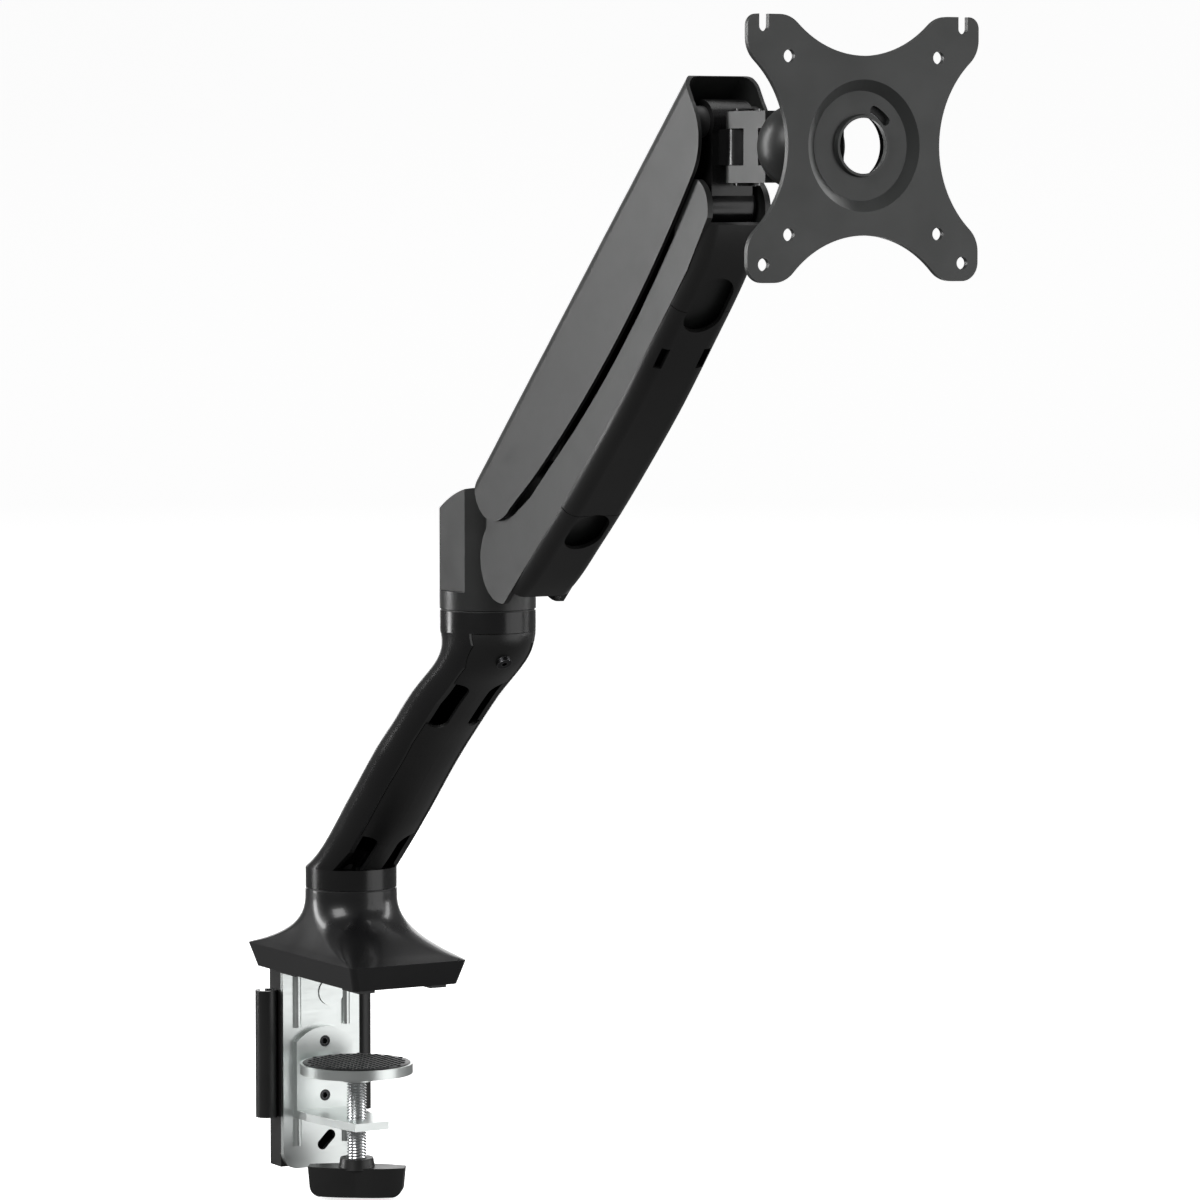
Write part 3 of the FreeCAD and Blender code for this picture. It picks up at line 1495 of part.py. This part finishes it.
def plate_hub():
    """Hollow rivet that holds the plate on the ring and lets it turn."""
    outer = hub_outer()
    bore = size.hub_bore
    rim = 8.5 - size.plate_thickness - size.dish_depth
    rear = -size.run_gap
    outline = [
        (rear - 1.6, bore + 3.1),
        (rear - 1.6, bore),
        (rim, bore),
        (rim, outer),
        (rear, outer),
        (rear, bore + 3.1),
    ]
    hub = turned("PlateHub", "XZ_Plane", outline, "H_Axis")
    locate(hub, screen_x - 8.5, 0, head_z)
    return node("plate_hub", hub)


# ---------------------------------------------------------------------------------------------
# Output
# ---------------------------------------------------------------------------------------------


def build_base():
    base_cover()
    base_plate()
    base_bolts()
    foot_pads()
    base_pole()
    base_washer()


def build_clamp():
    clamp_plate()
    clamp_shelf()
    shelf_bolts()
    clamp_rear_cover()
    cable_channels()
    pressure_disc()
    disc_pad()
    clamp_screw()
    clamp_knob()


def build_lower_arm():
    limb_pieces()
    lower_arm_bush()
    elbow_shaft()
    elbow_washer()


def build_post():
    elbow_post()
    elbow_bush()
    post_pins()
    reaches = (
        (lower_pivot, size.body_half_width - size.body_wall - size.run_gap),
        (upper_pivot, size.link_half_width - size.link_wall - size.run_gap),
    )
    pin_spacers("rear_spacers", "RearSpacers", reaches, size.tongue_half_width)


def build_gas_arm():
    gas_arm_body()
    belly_lids()
    upper_link()
    gas_spring()


def build_head():
    end_bracket()
    bracket_pins()
    reaches = (
        (front_lower, size.body_half_width - size.body_wall - size.run_gap),
        (front_upper, size.link_half_width - size.link_wall - size.run_gap),
    )
    pin_spacers("front_spacers", "FrontSpacers", reaches, size.bracket_half_width)
    pan_yoke()
    pan_pin()
    tilt_bolt()
    tilt_head()
    plate_washer()
    vesa_plate()
    plate_hub()


def check_and_write():
    doc.recompute()
    failed = [obj.Name for obj in doc.Objects if "Invalid" in obj.State or "Error" in obj.State]
    if failed:
        raise RuntimeError(f"failed objects: {failed}")
    for obj in nodes:
        if obj.Shape.isNull() or not obj.Shape.isValid():
            raise RuntimeError(f"{obj.Label} has no valid shape")
    os.makedirs("parts", exist_ok=True)
    for obj in nodes:
        obj.Shape.exportStep(f"parts/{obj.Label}.step")
        print(f"{obj.Label}: {len(obj.Shape.Solids)} solids, {obj.Shape.Volume:.0f} mm3")


build_base()
build_clamp()
build_lower_arm()
build_post()
build_gas_arm()
build_head()
check_and_write()
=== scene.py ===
"""Looks of the desk-clamp monitor arm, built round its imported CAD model."""
import json
import math

import bmesh
import bpy
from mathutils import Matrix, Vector


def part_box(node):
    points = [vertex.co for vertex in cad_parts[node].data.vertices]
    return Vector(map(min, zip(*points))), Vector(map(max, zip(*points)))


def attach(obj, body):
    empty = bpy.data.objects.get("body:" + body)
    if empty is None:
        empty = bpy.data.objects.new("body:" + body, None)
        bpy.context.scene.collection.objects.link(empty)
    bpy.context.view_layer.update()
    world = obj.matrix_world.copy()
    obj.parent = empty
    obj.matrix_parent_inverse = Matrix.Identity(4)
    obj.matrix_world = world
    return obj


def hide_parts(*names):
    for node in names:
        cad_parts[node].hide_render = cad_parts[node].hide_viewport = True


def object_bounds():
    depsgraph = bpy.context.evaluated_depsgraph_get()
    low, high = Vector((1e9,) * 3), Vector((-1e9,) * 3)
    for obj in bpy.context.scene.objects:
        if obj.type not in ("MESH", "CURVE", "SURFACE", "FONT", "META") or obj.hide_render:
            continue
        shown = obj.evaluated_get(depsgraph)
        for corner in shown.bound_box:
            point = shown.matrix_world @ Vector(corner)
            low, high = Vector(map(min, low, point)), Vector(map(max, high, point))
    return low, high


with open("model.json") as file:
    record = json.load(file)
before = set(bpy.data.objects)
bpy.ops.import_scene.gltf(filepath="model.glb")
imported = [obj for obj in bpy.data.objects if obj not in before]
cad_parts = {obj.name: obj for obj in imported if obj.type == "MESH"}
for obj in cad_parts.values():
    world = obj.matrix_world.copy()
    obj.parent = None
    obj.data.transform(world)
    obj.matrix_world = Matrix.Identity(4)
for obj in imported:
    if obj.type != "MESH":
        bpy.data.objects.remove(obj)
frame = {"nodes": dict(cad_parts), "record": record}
cad_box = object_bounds()
nodes = frame["nodes"]

# ---------------------------------------------------------------------------------------------
# Camera, floor and light
# ---------------------------------------------------------------------------------------------


CAMERA_PLACE = (2.4440, -1.2664, 0.3972)
CAMERA_TARGET = (0.2505, 0.0, 0.2068)


def add_camera():
    """Long lens at the photographed angle."""
    camera = bpy.data.objects.new("camera", bpy.data.cameras.new("camera"))
    bpy.context.scene.collection.objects.link(camera)
    camera.data.lens = 165
    camera.data.sensor_width = 36
    camera.data.clip_start = 0.1
    camera.data.clip_end = 50
    camera.location = CAMERA_PLACE
    camera.rotation_euler = (Vector(CAMERA_TARGET) - Vector(CAMERA_PLACE)).to_track_quat("-Z", "Y").to_euler()
    bpy.context.scene.camera = camera


def ring(work, x, y, radius, level, count):
    """Level circle of vertices."""
    return [
        work.verts.new((
            x + radius * math.cos(2 * math.pi * step / count),
            y + radius * math.sin(2 * math.pi * step / count),
            level,
        ))
        for step in range(count)
    ]


def bridge(work, loops):
    """Walls between rings that follow each other."""
    for inner, outer in zip(loops, loops[1:]):
        for step in range(len(inner)):
            after = (step + 1) % len(inner)
            work.faces.new((inner[step], inner[after], outer[after], outer[step]))


# Radius and rise of the floor's rings, in metres: flat to the first, then up into the backdrop.
FLOOR_RINGS = ((3.0, 0.0), (4.2, 0.12), (5.0, 0.6), (5.4, 1.6), (5.5, 4.0))
FLOOR_GAP = 0.002
FLOOR_SIDES = 64
FLOOR_CENTRE_X = 0.2


def add_floor():
    """Pale floor that rises into a backdrop far behind the arm on every side."""
    level = cad_box[0][2] - FLOOR_GAP
    mesh = bpy.data.meshes.new("floor")
    work = bmesh.new()
    loops = [
        ring(work, FLOOR_CENTRE_X, 0.0, radius, level + rise, FLOOR_SIDES)
        for radius, rise in FLOOR_RINGS
    ]
    work.faces.new(loops[0])
    bridge(work, loops)
    work.to_mesh(mesh)
    work.free()
    for face in mesh.polygons:
        face.use_smooth = len(face.vertices) == 4
    floor = bpy.data.objects.new("floor", mesh)
    bpy.context.scene.collection.objects.link(floor)
    paint = bpy.data.materials.new("floor_paint")
    paint.use_nodes = True
    shader = paint.node_tree.nodes["Principled BSDF"]
    shader.inputs["Base Color"].default_value = (0.93, 0.93, 0.93, 1)
    shader.inputs["Roughness"].default_value = 0.9
    shader.inputs["Emission Color"].default_value = (1, 1, 1, 1)
    shader.inputs["Emission Strength"].default_value = 0.75
    mesh.materials.append(paint)
    floor.visible_glossy = False
    floor.visible_diffuse = False


def add_area(name, place, target, width, height, power):
    """Softbox turned to a target; sizes in metres, power in watts."""
    light = bpy.data.lights.new(name, "AREA")
    light.shape = "RECTANGLE"
    light.size = width
    light.size_y = height
    light.energy = power
    lamp = bpy.data.objects.new(name, light)
    lamp.location = place
    lamp.visible_camera = False
    lamp.rotation_euler = (Vector(target) - Vector(place)).to_track_quat("-Z", "Y").to_euler()
    bpy.context.scene.collection.objects.link(lamp)


def add_light():
    """Dim white surroundings and six softboxes."""
    world = bpy.data.worlds.new("studio")
    bpy.context.scene.world = world
    world.use_nodes = True
    background = world.node_tree.nodes["Background"]
    background.inputs["Color"].default_value = (1.0, 1.0, 1.0, 1)
    background.inputs["Strength"].default_value = 0.16
    middle = (0.22, 0.0, 0.18)
    add_area("key", (1.0, -1.9, 1.5), middle, 1.3, 1.3, 31)
    add_area("side", (-1.2, -1.4, 0.7), middle, 0.4, 1.8, 26)
    add_area("top", (0.2, 0.4, 2.2), middle, 1.8, 1.2, 17)
    add_area("rim", (0.6, 1.9, 0.9), middle, 0.5, 1.7, 16)
    add_area("front", (1.5, 1.1, 0.1), (0.1, 0.0, 0.05), 1.5, 1.5, 9)
    add_area("back", (-1.5, 0.8, 0.25), middle, 1.2, 1.0, 7)
    bpy.context.scene.view_settings.view_transform = "Standard"


# ---------------------------------------------------------------------------------------------
# Materials
# ---------------------------------------------------------------------------------------------


class Paint:
    """Material under construction: short calls for nodes and links."""

    def __init__(self, name):
        self.material = bpy.data.materials.new(name)
        self.material.use_nodes = True
        self.tree = self.material.node_tree
        self.shader = self.tree.nodes["Principled BSDF"]
        self.place = self.node("ShaderNodeTexCoord").outputs["Object"]

    def node(self, kind, **settings):
        made = self.tree.nodes.new(kind)
        for name, value in settings.items():
            setattr(made, name, value)
        return made

    def link(self, source, target):
        self.tree.links.new(source, target)

    def noise(self, scale, detail=4.0, stretch=None):
        """Noise in metres of the frame, optionally stretched by axis."""
        texture = self.node("ShaderNodeTexNoise")
        texture.inputs["Scale"].default_value = scale
        texture.inputs["Detail"].default_value = detail
        place = self.place
        if stretch:
            mapping = self.node("ShaderNodeMapping")
            mapping.inputs["Scale"].default_value = stretch
            self.link(place, mapping.inputs["Vector"])
            place = mapping.outputs["Vector"]
        self.link(place, texture.inputs["Vector"])
        return texture.outputs["Fac"]

    def ranged(self, value, low, high, from_low=0.3, from_high=0.7):
        """Noise value spread over a new range."""
        remap = self.node("ShaderNodeMapRange")
        self.link(value, remap.inputs["Value"])
        limits = {"From Min": from_low, "From Max": from_high, "To Min": low, "To Max": high}
        for name, number in limits.items():
            remap.inputs[name].default_value = number
        return remap.outputs["Result"]

    def mix(self, factor, first, second):
        """Blend of two colours, each a tuple or a socket."""
        blend = self.node("ShaderNodeMix", data_type="RGBA")
        self.link(factor, blend.inputs["Factor"])
        for socket, colour in (("A", first), ("B", second)):
            target = [i for i in blend.inputs if i.name == socket and i.type == "RGBA"][0]
            if isinstance(colour, tuple):
                target.default_value = (*colour, 1)
            else:
                self.link(colour, target)
        return [o for o in blend.outputs if o.type == "RGBA"][0]

    def bump(self, *layers):
        """Layers of (height, strength, distance in metres), coarse first."""
        normal = None
        for height, strength, distance in layers:
            made = self.node("ShaderNodeBump")
            made.inputs["Strength"].default_value = strength
            made.inputs["Distance"].default_value = distance
            self.link(height, made.inputs["Height"])
            if normal:
                self.link(normal, made.inputs["Normal"])
            normal = made.outputs["Normal"]
        self.link(normal, self.shader.inputs["Normal"])

    def edge(self, radius):
        """1 on sharp edges, 0 on faces."""
        bevel = self.node("ShaderNodeBevel", samples=6)
        bevel.inputs["Radius"].default_value = radius
        plain = self.node("ShaderNodeNewGeometry")
        dot = self.node("ShaderNodeVectorMath", operation="DOT_PRODUCT")
        self.link(bevel.outputs["Normal"], dot.inputs[0])
        self.link(plain.outputs["Normal"], dot.inputs[1])
        return self.ranged(dot.outputs["Value"], 1.0, 0.0, 0.86, 0.985)


def coat(name, dark, light, rough, grain, grain_depth, worn=None):
    """Powder coat: fine orange-peel grain, slight clouding and rubbed edges."""
    paint = Paint(name)
    cloud = paint.noise(14, 3)
    colour = paint.mix(paint.ranged(cloud, 0, 1), dark, light)
    if worn:
        scuff = paint.node("ShaderNodeMath", operation="MULTIPLY")
        paint.link(paint.edge(0.0007), scuff.inputs[0])
        paint.link(paint.ranged(paint.noise(160, 5), 0.0, 0.7, 0.45, 0.7), scuff.inputs[1])
        colour = paint.mix(scuff.outputs["Value"], colour, worn)
    paint.link(colour, paint.shader.inputs["Base Color"])
    paint.link(paint.ranged(paint.noise(60, 5), rough - 0.05, rough + 0.06), paint.shader.inputs["Roughness"])
    coarse = (paint.noise(grain, 2), grain_depth, 0.0002)
    fine = (paint.noise(grain * 2.7, 2), grain_depth * 0.6, 0.0001)
    paint.bump(coarse, fine)
    return paint.material


def moulding(name, dark, light, rough, grain, grain_depth, clear=0.0):
    """Injection-moulded plastic, with an optional gloss layer."""
    paint = Paint(name)
    colour = paint.mix(paint.ranged(paint.noise(20, 3), 0, 1), dark, light)
    paint.link(colour, paint.shader.inputs["Base Color"])
    paint.link(paint.ranged(paint.noise(45, 6), rough - 0.04, rough + 0.07), paint.shader.inputs["Roughness"])
    paint.shader.inputs["Coat Weight"].default_value = clear
    paint.shader.inputs["Coat Roughness"].default_value = 0.08
    paint.bump((paint.noise(30, 2), 0.05, 0.0006), (paint.noise(grain, 3), grain_depth, 0.00012))
    return paint.material


def metal(name, dark, light, rough, brushed=None, worn=None):
    """Bare or plated metal with brushing, fine scratches and bright edges."""
    paint = Paint(name)
    lines = paint.noise(90, 6, brushed or (1, 1, 1))
    patches = paint.noise(22, 4)
    colour = paint.mix(paint.ranged(patches, 0, 1), dark, light)
    if worn:
        colour = paint.mix(paint.edge(0.0005), colour, worn)
    paint.link(colour, paint.shader.inputs["Base Color"])
    paint.shader.inputs["Metallic"].default_value = 1.0
    paint.link(paint.ranged(lines, rough - 0.03, rough + 0.04), paint.shader.inputs["Roughness"])
    paint.bump((lines, 0.05, 0.00005), (paint.noise(900, 3), 0.08, 0.00005))
    return paint.material


def make_materials():
    """One material per slot of the record, and a glossier coat for the cast parts."""
    return {
        "arm_coat": coat(
            "arm_coat", (0.015, 0.0155, 0.015), (0.021, 0.022, 0.0215), 0.36, 1500, 0.10, (0.06, 0.062, 0.06)
        ),
        "gloss_coat": coat(
            "gloss_coat", (0.006, 0.006, 0.006), (0.009, 0.009, 0.0092), 0.22, 1300, 0.05, (0.04, 0.04, 0.04)
        ),
        "plate_coat": coat(
            "plate_coat", (0.034, 0.036, 0.035), (0.042, 0.044, 0.043), 0.34, 2200, 0.12, (0.11, 0.112, 0.11)
        ),
        "gloss_cover": moulding(
            "gloss_cover", (0.006, 0.006, 0.0065), (0.010, 0.010, 0.0105), 0.30, 1400, 0.04, 0.3
        ),
        "matte_cover": moulding(
            "matte_cover", (0.011, 0.011, 0.011), (0.017, 0.0172, 0.017), 0.36, 2600, 0.20
        ),
        "zinc_steel": metal(
            "zinc_steel", (0.74, 0.78, 0.765), (0.84, 0.875, 0.86), 0.33, (1, 1, 9), (0.9, 0.92, 0.9)
        ),
        "bright_steel": metal("bright_steel", (0.62, 0.63, 0.64), (0.74, 0.75, 0.76), 0.24, (6, 6, 1)),
        "dark_steel": metal(
            "dark_steel", (0.03, 0.03, 0.032), (0.055, 0.055, 0.058), 0.38, None, (0.25, 0.25, 0.26)
        ),
        "rubber_pad": moulding(
            "rubber_pad", (0.010, 0.011, 0.011), (0.018, 0.019, 0.019), 0.38, 1800, 0.2
        ),
        "nylon": moulding("nylon", (0.03, 0.03, 0.03), (0.045, 0.045, 0.045), 0.5, 900, 0.2),
    }


GLOSSY = ("lower_arm_casting", "end_bracket", "pan_pin", "tilt_head")

# Width of the broken edge of each node, in metres.
BEVELS = {
    "lower_arm_casting": 0.0006,
    "lower_arm_lid": 0.0004,
    "elbow_post": 0.0010,
    "upper_link": 0.0006,
    "gas_arm_body": 0.0006,
    "base_cover": 0.0008,
    "clamp_plate": 0.0005,
    "clamp_shelf": 0.0005,
    "clamp_rear_cover": 0.0018,
    "cable_channels": 0.0004,
    "clamp_knob": 0.0014,
    "pressure_disc": 0.0008,
    "vesa_plate": 0.0004,
    "pan_yoke": 0.0009,
    "end_bracket": 0.0009,
    "tilt_head": 0.0007,
    "rear_belly_lid": 0.0003,
    "middle_belly_lid": 0.0003,
    "front_belly_lid": 0.0003,
}
SMALL_BEVEL = 0.0002
BEVEL_ANGLE = math.radians(38)


def dress_nodes(materials):
    """Gives every CAD node its material and rounded edges."""
    slots = {entry["node"]: entry["material_slot"] for entry in frame["record"]["subparts"]}
    for name, obj in nodes.items():
        obj.data.materials.clear()
        obj.data.materials.append(materials["gloss_coat" if name in GLOSSY else slots[name]])
        bevel = obj.modifiers.new("edge", "BEVEL")
        bevel.width = BEVELS.get(name, SMALL_BEVEL)
        bevel.segments = 3
        bevel.limit_method = "ANGLE"
        bevel.angle_limit = BEVEL_ANGLE
        bevel.harden_normals = True
        bevel.use_clamp_overlap = True


# ---------------------------------------------------------------------------------------------
# Detailed pieces
# ---------------------------------------------------------------------------------------------


def finish_mesh(name, work, material, body):
    """Turns a bmesh into a smooth piece that rides on a body."""
    mesh = bpy.data.meshes.new(name)
    work.normal_update()
    work.to_mesh(mesh)
    work.free()
    mesh.materials.append(material)
    for face in mesh.polygons:
        face.use_smooth = True
    piece = bpy.data.objects.new(name, mesh)
    bpy.context.scene.collection.objects.link(piece)
    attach(piece, body)
    return piece


THREAD_PITCH = 0.0015
THREAD_DEPTH = 0.00088
THREAD_SIDES = 40
# Share of the pitch and share of the depth, from one crest to the next.
THREAD_PROFILE = ((0.0, 0.0), (0.10, 0.0), (0.46, 1.0), (0.62, 1.0))


def thread_row(work, centre, low, high, outer, step):
    """Points of the thread's profile at one step round the helix, fading into a waist at the ends."""
    angle = 2 * math.pi * step / THREAD_SIDES
    level = low + THREAD_PITCH * step / THREAD_SIDES
    row = []
    for share, cut in THREAD_PROFILE:
        z = min(max(level + (share - 1.0) * THREAD_PITCH, low), high)
        fade = min(1.0, max(0.0, min(z - low, high - z) / THREAD_PITCH))
        radius = outer - THREAD_DEPTH * (1 - fade + fade * cut)
        point = (centre.x + radius * math.cos(angle), centre.y + radius * math.sin(angle), z)
        row.append(work.verts.new(point))
    return row


def clamp_thread(materials):
    """Rolled thread of the clamp screw with a plain waist at its head."""
    low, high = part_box("clamp_screw")
    centre = (low + high) / 2
    outer = (high.x - low.x) / 2 - 0.00002
    steps = int((high.z - low.z) / THREAD_PITCH * THREAD_SIDES)
    work = bmesh.new()
    rows = [thread_row(work, centre, low.z, high.z, outer, step) for step in range(steps + 1)]
    for step in range(steps):
        here, after = rows[step], rows[step + 1]
        for index in range(3):
            work.faces.new((here[index], after[index], after[index + 1], here[index + 1]))
        ahead = step + THREAD_SIDES
        if ahead < steps:
            work.faces.new((here[3], after[3], rows[ahead + 1][0], rows[ahead][0]))
    root = outer - THREAD_DEPTH
    work.faces.new(ring(work, centre.x, centre.y, root, low.z, THREAD_SIDES)[::-1])
    work.faces.new(ring(work, centre.x, centre.y, root, high.z, THREAD_SIDES))
    thread = finish_mesh("clamp_thread", work, materials["bright_steel"], "clamp_spindle")
    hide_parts("clamp_screw")


PAD_SIDES = 72
DOT_SPACING = 0.0036
DOT_HEIGHT = 0.0006
DOT_SIDES = 10
# Radius of a dot in metres and share of its height.
DOT_PROFILE = ((0.00130, 0.0), (0.00112, 0.7), (0.00060, 1.0))


def grip_pad(materials):
    """Pad on the pressure disc with raised dots that grip the underside of the desk."""
    low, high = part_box("disc_pad")
    centre = (low + high) / 2
    radius = (high.x - low.x) / 2
    floor = high.z - DOT_HEIGHT
    work = bmesh.new()
    edge = (
        (radius - 0.0003, low.z),
        (radius, low.z + 0.0002),
        (radius, floor - 0.0002),
        (radius - 0.0003, floor),
    )
    loops = [ring(work, centre.x, centre.y, reach, level, PAD_SIDES) for reach, level in edge]
    bridge(work, loops)
    work.faces.new(loops[0][::-1])
    work.faces.new(loops[-1])
    count = int(radius / DOT_SPACING) + 1
    for row in range(-count, count + 1):
        for column in range(-count, count + 1):
            x = (column + (row % 2) / 2) * DOT_SPACING
            y = row * DOT_SPACING * 0.866
            if math.hypot(x, y) < radius - 0.0022:
                grip_dot(work, centre.x + x, centre.y + y, floor)
    pad = finish_mesh("grip_pad", work, materials["rubber_pad"], "clamp_foot")
    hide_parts("disc_pad")


def grip_dot(work, x, y, level):
    """Low round-topped dot."""
    loops = [ring(work, x, y, radius, level + DOT_HEIGHT * rise, DOT_SIDES) for radius, rise in DOT_PROFILE]
    bridge(work, loops)
    work.faces.new(loops[-1])


add_camera()
add_floor()
add_light()
materials = make_materials()
dress_nodes(materials)
clamp_thread(materials)
grip_pad(materials)

bpy.context.view_layer.update()
